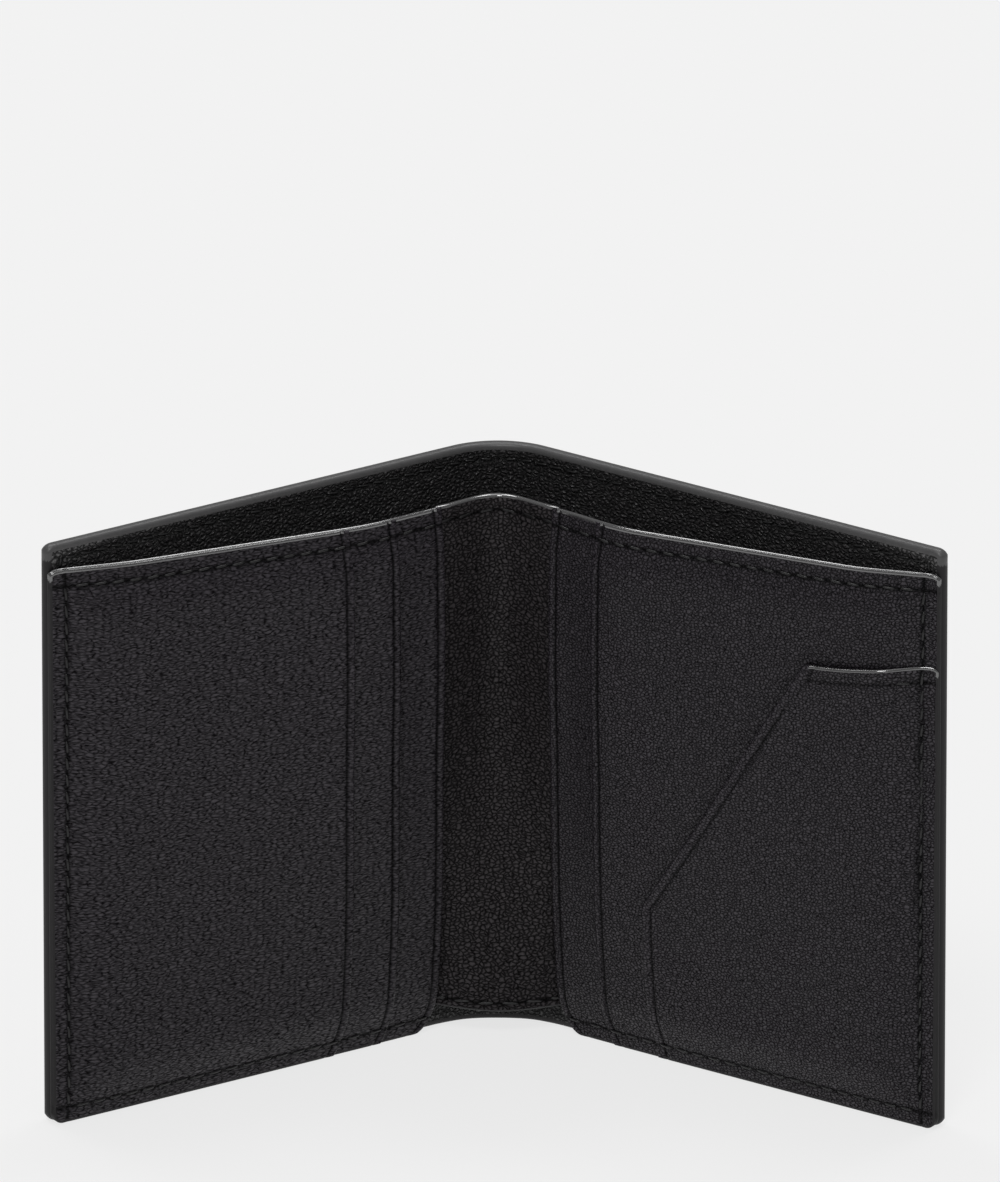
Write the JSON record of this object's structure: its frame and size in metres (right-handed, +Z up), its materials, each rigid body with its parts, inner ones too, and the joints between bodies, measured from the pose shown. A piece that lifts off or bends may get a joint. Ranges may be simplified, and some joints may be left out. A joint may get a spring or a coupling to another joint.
{
  "type": "bifold wallet",
  "caption": "Upright leather bifold wallet, standing open, with a folding spine, a bill compartment behind a sewn divider, stepped card pockets and a cut-corner slip pocket.",
  "frame": {"origin": "middle of the bottom of the standing wallet's box, on the surface it stands on", "axes": "+X across the open wallet, +Y towards the spine, +Z up along the spine"},
  "size_m": [0.1634, 0.0576, 0.112],
  "materials": {
    "leather": "black pebbled leather with a soft sheen",
    "lining": "black grained lining leather, glossier",
    "thread": "black polyester sewing thread"
  },
  "bodies": {
    "spine": {"cover_spine": "leather", "lining_spine": "lining", "spine_seam": "thread", "divider_spine": "leather", "divider_spine_lining": "lining", "divider_spine_seam": "thread"},
    "left_wing": {"cover_left": "leather", "lining_left": "lining", "left_cover_seam": "thread", "bill_lining_left": "lining"},
    "right_wing": {"cover_right": "leather", "lining_right": "lining", "right_cover_seam": "thread", "bill_lining_right": "lining"},
    "left_panel": {"divider_left": "leather", "left_back_pocket": "leather", "left_middle_pocket": "leather", "left_front_pocket": "leather", "left_edge_seam": "thread", "left_top_seam": "thread"},
    "right_panel": {"divider_right": "leather", "right_back_pocket": "leather", "right_front_pocket": "leather", "slip_pocket": "leather", "right_edge_seam": "thread", "right_top_seam": "thread", "slip_pocket_seam": "thread"}
  },
  "joints": [
    {"name": "left_fold", "type": "hinge", "parent": "spine", "child": "left_wing", "pos_m": [-0.008, 0.02479, 0], "axis": [0, 0, 1], "range_deg": [-8, 56], "deforming": ["divider_spine", "divider_spine_lining", "divider_spine_seam", "bill_lining_left", "bill_lining_right"]},
    {"name": "right_fold", "type": "hinge", "parent": "spine", "child": "right_wing", "pos_m": [0.008, 0.02479, 0], "axis": [0, 0, -1], "range_deg": [-8.1, 56.1], "deforming": ["divider_spine", "divider_spine_lining", "divider_spine_seam", "bill_lining_left", "bill_lining_right"]},
    {"name": "left_panel_swing", "type": "hinge", "parent": "left_wing", "child": "left_panel", "pos_m": [-0.07937, -0.02534, 0], "axis": [0, 0, 1], "range_deg": [-1.6, 10.8], "deforming": ["divider_spine", "divider_spine_lining", "divider_spine_seam", "bill_lining_left", "bill_lining_right"]},
    {"name": "right_panel_swing", "type": "hinge", "parent": "right_wing", "child": "right_panel", "pos_m": [0.07937, -0.02534, 0], "axis": [0, 0, -1], "range_deg": [-1.6, 10.8], "deforming": ["divider_spine", "divider_spine_lining", "divider_spine_seam", "bill_lining_left", "bill_lining_right"]}
  ],
  "couplings": [
    {"joint": "right_fold", "follows": "left_fold", "ratio": 1},
    {"joint": "left_panel_swing", "follows": "left_fold", "ratio": 0.19107},
    {"joint": "right_panel_swing", "follows": "left_fold", "ratio": 0.19107}
  ]
}
